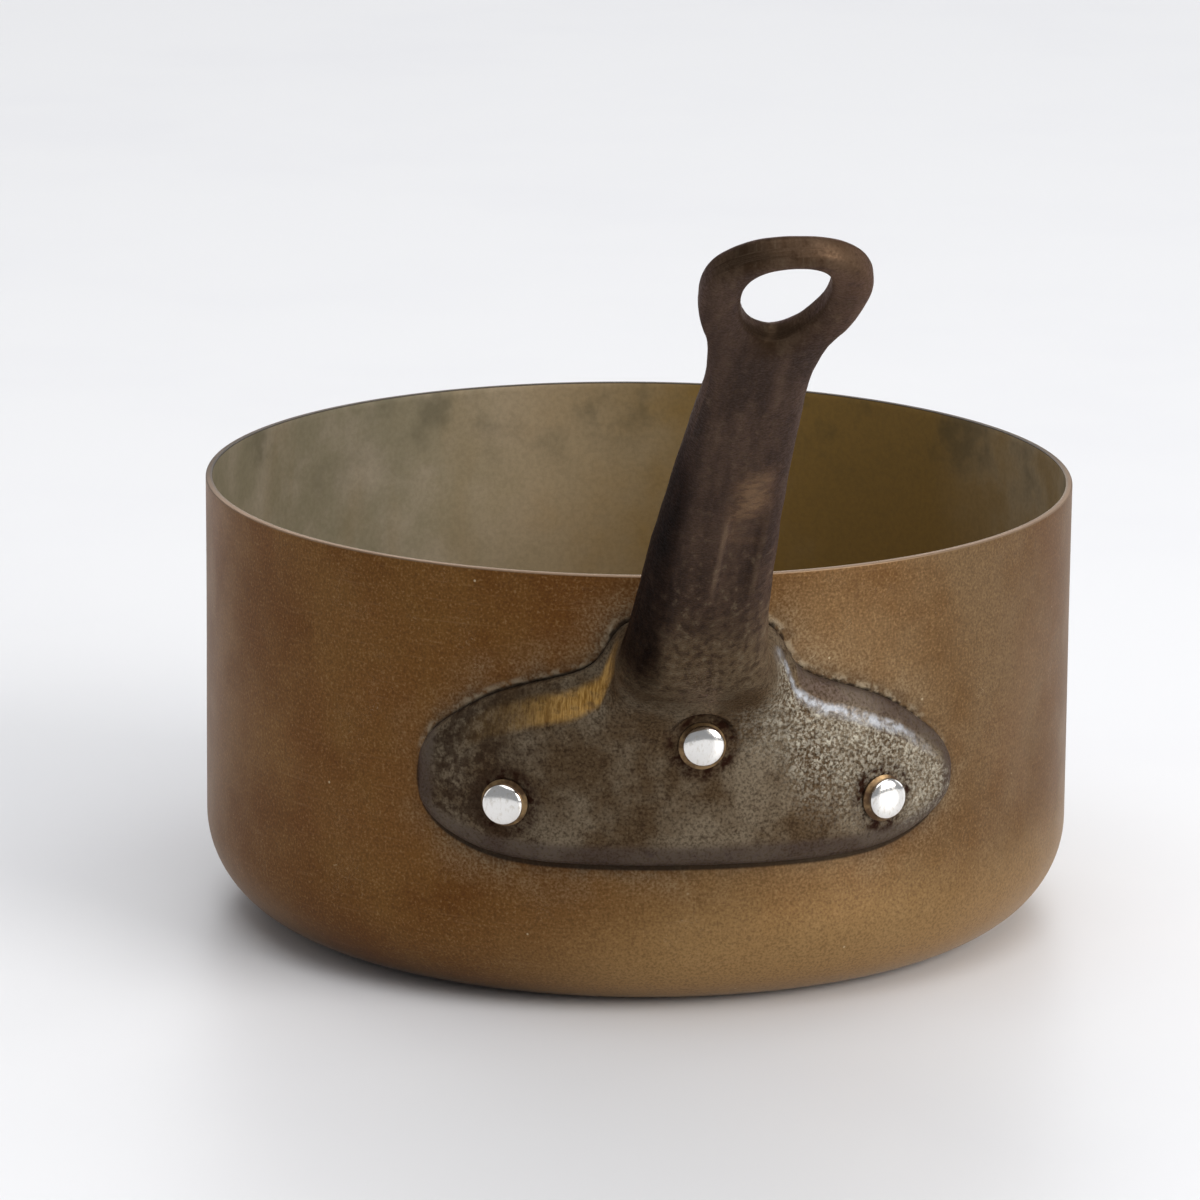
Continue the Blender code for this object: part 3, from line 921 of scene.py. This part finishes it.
def iron_finish():
    """Sand-cast iron: pitted, brown-grey on the flange, darker along the bar, filed gold on one bevel,
    with painted highlights and shade.
    """
    material, tree, shader, place = new_finish("cast_iron", metallic=0.6, roughness=0.5)
    shader.inputs["Specular Tint"].default_value = tone(176, 140, 106)

    # What the coats share: the casting's marks, its clouds, scale and grain, and runs along the bar.
    iron = SimpleNamespace(**{name: mark(tree, name) for name in CASTING_MARKS})
    iron.cloud = clouds(tree, place, 0.011, 4.0)
    iron.grain = clouds(tree, place, 0.0005)
    iron.coarse = clouds(tree, place, 0.0006, 5.0)
    iron.scale = clouds(tree, place, 0.0018, 4.0)
    iron.files = clouds(tree, place, 0.0004, 2.0, stretch=(1, 1, 0.06))
    on_bar = {0: iron.across, 1: iron.along, 2: iron.under}
    iron.on_bar = add(tree, "ShaderNodeCombineXYZ", on_bar).outputs[0]
    iron.runs = clouds(tree, iron.on_bar, 0.0045, 4.0, stretch=(1, 0.13, 0.1))
    iron.ragged_along = maths(tree, "MULTIPLY_ADD", iron.cloud, 0.05, iron.along)
    iron.skin = between(tree, iron.along, 0.0, 0.060, 1.0, 0.2)

    brown = mixed(tree, between(tree, iron.cloud, 0.35, 0.65), tone(82, 67, 50), tone(115, 103, 86))
    colour = painted(
        tree, brown,
        *bar_coats(tree, iron),
        *skin_coats(tree, iron),
        *flange_coats(tree, iron),
        *groove_coats(tree, iron),
        # Painted shade: the bar's left side is painted near black, and its specular is turned down there.
        (times(tree, iron.flank, between(tree, iron.runs, 0.35, 0.65, 1.0, 0.8)), tone(20, 11, 6)),
        (rivet_rings(tree, place, iron), tone(38, 22, 17)),
    )
    tree.links.new(colour, shader.inputs["Base Color"])
    tree.links.new(between(tree, iron.flank, 0.0, 1.0, 0.5, 0.08), shader.inputs["Specular IOR Level"])
    tree.links.new(between(tree, iron.grain, 0.35, 0.65, 0.62, 0.42), shader.inputs["Roughness"])
    pit_depth = between(tree, iron.pitted, 0.0, 1.0, 0.25, 1.0)
    raise_surface(
        tree, shader,
        (times(tree, iron.cloud, iron.skin), 0.0002),
        (times(tree, iron.coarse, pit_depth, iron.skin), 0.00030),
        (times(tree, iron.grain, iron.skin), 0.00005),
        (times(tree, iron.files, iron.filed), 0.00004),
    )
    return material


axes = [rivet_axis(*place) for place in RIVET_PLACES.values()]
casting = rounded_casting()
blend_casting(casting)
refine_seats(casting, axes)
work_casting(casting, axes)
handle = add_piece("iron_handle", casting, iron_finish())
mark_casting(handle)
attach(handle, "root")
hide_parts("handle")

# ---- Deposit round the flange ----
# Salts and old polish dry out where the cast flange meets the copper, as a pale bloom beyond it, and a
# shadow is painted as a dark line in the gap. The copper's finish reads how far each point is from the
# flange.

FAR_FROM_FLANGE = 0.03
DEPOSIT_ARC = 0.08
ABOVE_FLANGE = (0.042, 0.050)
OUTLINE_ROUNDS = 2
CUT_SHARES = (0.25, 0.75)


def flange_outline():
    """The flange's outline on the wall, as (arc, height) points all the way round, corners cut."""
    arcs = [arc for arc, *heights in FLANGE_COLUMNS]
    arcs = [-arc for arc in reversed(arcs[1:])] + arcs
    outline = [(arc, edge_heights(arc)[1]) for arc in arcs]
    outline += [(arc, edge_heights(arc)[0]) for arc in reversed(arcs)]
    for _ in range(OUTLINE_ROUNDS):
        sides = zip(outline, outline[1:] + outline[:1])
        outline = [
            tuple(a + (b - a) * share for a, b in zip(*side)) for side in sides for share in CUT_SHARES
        ]
    return outline


def outside_by(arc, height, outline):
    """How far a point of the wall lies outside the outline, or 0 inside it."""
    nearest, inside = FAR_FROM_FLANGE, False
    for (ax, az), (bx, bz) in zip(outline, outline[1:] + outline[:1]):
        length = (bx - ax) ** 2 + (bz - az) ** 2
        if not length:
            continue
        share = min(max(((arc - ax) * (bx - ax) + (height - az) * (bz - az)) / length, 0.0), 1.0)
        gap = hypot(arc - ax - share * (bx - ax), height - az - share * (bz - az))
        nearest = min(nearest, gap)
        if (az > height) != (bz > height) and arc < ax + (height - az) * (bx - ax) / (bz - az):
            inside = not inside
    return 0.0 if inside else nearest


def from_flange(place, outline):
    """How far a point of the cup is from the flange, or FAR_FROM_FLANGE inside and at the back."""
    arc = atan2(place.x, -place.y) * ARC_RADIUS
    outside = hypot(place.x, place.y) > PAN_RADIUS - COPPER_THICKNESS / 2
    return outside_by(arc, place.z, outline) if outside and abs(arc) < DEPOSIT_ARC else FAR_FROM_FLANGE


outline = flange_outline()
cup_places = [vertex.co.copy() for vertex in pan_body.data.vertices]
write_mark(pan_body, "from_flange", [from_flange(place, outline) for place in cup_places])
write_mark(pan_body, "above_flange", [step(place.z, *ABOVE_FLANGE) for place in cup_places])

# ---- Rivets ----
# Three rivets hold the handle on. Each has a low head inside the pan, stained like the lining, and
# a shank through holes drilled in lining, copper and flange. Outside are its tan foot, and a tail
# hammered to a low dome that wear keeps mirror-bright.

RIVET_STEPS = 64
SHANK_RADIUS = 0.0032
DRILL_PLAY = 0.00005
DRILL_FROM = PAN_RADIUS - 0.0030
DRILL_TO = PAN_RADIUS + 0.0050
HEAD_GAP = 0.0001
HEAD_FACE = PAN_RADIUS - COPPER_THICKNESS - LINING_GAP - LINING_THICKNESS - HEAD_GAP
HEAD_RADIUS = 0.0060
HEAD_EDGE = 0.0006
HEAD_CROWN = 0.0012
HEAD_STEPS = 12
FOOT_GAP = 0.00005
FOOT_FACE = PAN_RADIUS + WALL_GAP + FLANGE_THICKNESS + FOOT_GAP
FOOT_RADIUS = 0.0042
FOOT_LIFT = 0.0003
FOOT_EDGE = 0.0003
TAIL_FACE = FOOT_FACE + FOOT_LIFT + FOOT_EDGE
TAIL_RADIUS = 0.00365
TAIL_SIDE = 0.0005
TAIL_RISE = 0.0011
TAIL_STEPS = 14
# A dome ends in a small flat spot, with a ring of points just inside its edge.
SPOT_RADIUS = 0.0009
SPOT_RING = 0.00081
# A rivet's tail is everything past TAIL_FROM, and its head everything before HEAD_BEFORE.
TAIL_FROM = TAIL_FACE - 1e-5
HEAD_BEFORE = PAN_RADIUS - 0.001
# How far each tail was hammered to the right of its foot, and above it.
TAIL_SHIFTS = {
    "rivet_left": (-0.00015, -0.00015),
    "rivet_top": (0.00015, 0.0002),
    "rivet_right": (0.0004, 0.0),
}


def dome(radius, edge, rise, steps):
    """A low dome's points from its rim to its top, on the Z axis."""
    angles = [pi / 2 * step / steps for step in range(steps)]
    points = [(radius * cos(a), edge + rise * sin(a)) for a in angles]
    points = [point for point in points if point[0] > SPOT_RADIUS]
    top = points[-1][1]
    return [*points, (SPOT_RING, top), (0.0, top)]


def rivet_profile():
    """A rivet along its own axis, measured outwards from the pan's axis: head, shank, foot and tail."""
    head = [(r, -d) for r, d in dome(HEAD_RADIUS, HEAD_EDGE - HEAD_FACE, HEAD_CROWN, HEAD_STEPS)]
    return [
        *reversed(head),
        (HEAD_RADIUS, HEAD_FACE),
        (SHANK_RADIUS, HEAD_FACE),
        (SHANK_RADIUS, FOOT_FACE),
        (FOOT_RADIUS, FOOT_FACE),
        (FOOT_RADIUS, FOOT_FACE + FOOT_LIFT),
        (TAIL_RADIUS, TAIL_FACE),
        *dome(TAIL_RADIUS, TAIL_FACE + TAIL_SIDE, TAIL_RISE, TAIL_STEPS),
    ]


def tail_finish():
    """Rubbed bright metal with hair scratches."""
    material, tree, shader, place = new_finish("bright_rivet_tail", metallic=1.0, roughness=0.15)
    scratch = clouds(tree, place, 0.0005, stretch=(1, 1, 0.5))
    colour = mixed(tree, between(tree, scratch, 0.5, 0.7), tone(244, 242, 238), tone(226, 221, 212))
    tree.links.new(colour, shader.inputs["Base Color"])
    tree.links.new(between(tree, scratch, 0.4, 0.7, 0.12, 0.24), shader.inputs["Roughness"])
    raise_surface(tree, shader, (scratch, 0.000006))
    return material


def foot_finish():
    """The rivet's shank and foot, dulled to a tan brown."""
    material, tree, shader, place = new_finish("tan_rivet_foot", metallic=0.8, roughness=0.4)
    stain = clouds(tree, place, 0.0030)
    colour = mixed(tree, between(tree, stain, 0.4, 0.65), tone(136, 112, 80), tone(80, 60, 42))
    tree.links.new(colour, shader.inputs["Base Color"])
    raise_surface(tree, shader, (stain, 0.00006))
    return material


def set_on_axis(builder, place):
    """Moves a body turned on the Z axis on to a rivet's axis."""
    start, way = rivet_axis(*place)
    up = Vector((0, 0, 1))
    turn = Matrix((way.cross(up) * -1, up, way)).transposed()
    matrix = Matrix.Translation(start) @ turn.to_4x4()
    bmesh.ops.transform(builder, verts=builder.verts, matrix=matrix)
    bmesh.ops.recalc_face_normals(builder, faces=builder.faces)


def drill_bits():
    """One cutter for all three holes."""
    radius = SHANK_RADIUS + DRILL_PLAY
    joined = bmesh.new()
    for place in RIVET_PLACES.values():
        profile = [(0.0, DRILL_FROM), (radius, DRILL_FROM), (radius, DRILL_TO), (0.0, DRILL_TO)]
        bit = turned(profile, RIVET_STEPS)
        set_on_axis(bit, place)
        mesh = bpy.data.meshes.new("drill_bit")
        bit.to_mesh(mesh)
        bit.free()
        joined.from_mesh(mesh)
        bpy.data.meshes.remove(mesh)
    return add_piece("drill_bits", joined)


def drill_holes(*pieces):
    """Drills these pieces for the three shanks."""
    bits = drill_bits()
    for piece in pieces:
        drill = piece.modifiers.new("drill", "BOOLEAN")
        drill.object = bits
        drill.solver = "EXACT"
        evaluated = piece.evaluated_get(bpy.context.evaluated_depsgraph_get())
        drilled = bpy.data.meshes.new_from_object(evaluated)
        drilled.set_sharp_from_angle(angle=SHARP_ANGLE)
        piece.modifiers.remove(drill)
        piece.data = drilled
    bpy.data.objects.remove(bits)


def add_rivet(name, place, *finishes):
    """One rivet: its tail pushed off centre by the hammer, and its finishes for tail, foot and head."""
    builder = turned(rivet_profile(), RIVET_STEPS)
    shift = Vector((*TAIL_SHIFTS[name], 0.0))
    for point in builder.verts:
        if point.co.z > TAIL_FROM:
            point.co += shift
    for face in builder.faces:
        out = face.calc_center_median().z
        face.material_index = 0 if out > TAIL_FROM else 2 if out < HEAD_BEFORE else 1
    set_on_axis(builder, place)
    return add_piece(f"{name}_fine", builder, *finishes)


drill_holes(pan_body, pan_lining, handle)
tail_metal, foot_metal = tail_finish(), foot_finish()
for rivet_name, rivet_place in RIVET_PLACES.items():
    rivet = add_rivet(rivet_name, rivet_place, tail_metal, foot_metal, lining)
    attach(rivet, "root")
    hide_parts(rivet_name)

# ---- Floor, light and camera ----
# A plain pale floor in a soft room. A wide window light comes from the right, in front, with weak
# fills from both sides, a soft ceiling, and a light on the floor far behind the pan.

FLOOR_SIZE = 8.0
ROOM_COLOUR = (0.94, 0.96, 1.0, 1.0)
ROOM_STRENGTH = 0.30
CLIP_DISTANCES = (0.05, 50.0)


def floor_finish():
    """Honed pale stone with the faintest grey drift."""
    material, tree, shader, place = new_finish("pale_floor", metallic=0.0, roughness=0.42)
    drift = clouds(tree, place, 0.12)
    colour = mixed(tree, between(tree, drift, 0.4, 0.8), tone(232, 232, 233), tone(229, 229, 231))
    tree.links.new(colour, shader.inputs["Base Color"])
    return material


ground = bmesh.new()
bmesh.ops.create_grid(ground, x_segments=2, y_segments=2, size=FLOOR_SIZE / 2)
floor = add_piece("floor", ground, floor_finish())

world = bpy.data.worlds.new("room")
bpy.context.scene.world = world
world.use_nodes = True
room = world.node_tree.nodes["Background"]
room.inputs["Color"].default_value = ROOM_COLOUR
room.inputs["Strength"].default_value = ROOM_STRENGTH


def add_light(name, place, aim, width, height, power, colour):
    """A soft rectangular light at place, facing aim."""
    light = bpy.data.lights.new(name, "AREA")
    light.shape = "RECTANGLE"
    light.size, light.size_y = width, height
    light.energy = power
    light.color = colour
    lamp = bpy.data.objects.new(name, light)
    lamp.location = place
    lamp.rotation_euler = (Vector(aim) - Vector(place)).to_track_quat("-Z", "Y").to_euler()
    bpy.context.collection.objects.link(lamp)


add_light("window", (2.30, -1.95, 1.40), (0, 0, 0.03), 2.2, 1.7, 82.0, (1.0, 0.98, 0.96))
add_light("side", (2.4, 1.0, 0.9), (0, 0, 0.05), 1.5, 1.3, 7.0, (0.95, 0.97, 1.0))
add_light("left", (-2.2, 0.9, 0.8), (0, 0, 0.05), 1.5, 1.3, 4.0, (1.0, 0.95, 0.90))
add_light("ceiling", (0.1, -0.5, 2.0), (0, 0, 0), 2.2, 2.2, 25.0, (0.98, 0.985, 1.0))
add_light("back", (0.0, 3.2, 1.7), (0, 2.4, 0), 3.6, 1.4, 46.0, (0.98, 0.985, 1.0))

CAMERA_PLACE = (-0.1695, -1.2703, 0.3766)
CAMERA_HEADING = radians(-7.287)
CAMERA_DIP = radians(14.005)
CAMERA_ROLL = radians(0.534)
CAMERA_LENS = 213.5
CAMERA_SENSOR = 36.0

view = bpy.data.cameras.new("camera")
view.lens = CAMERA_LENS
view.sensor_width = CAMERA_SENSOR
view.clip_start, view.clip_end = CLIP_DISTANCES
camera = bpy.data.objects.new("camera", view)
turn = Matrix.Rotation(CAMERA_HEADING, 4, "Z") @ Matrix.Rotation(pi / 2 - CAMERA_DIP, 4, "X")
camera.matrix_world = Matrix.Translation(CAMERA_PLACE) @ turn @ Matrix.Rotation(CAMERA_ROLL, 4, "Z")
bpy.context.collection.objects.link(camera)
bpy.context.scene.camera = camera
bpy.context.scene.view_settings.view_transform = "Standard"
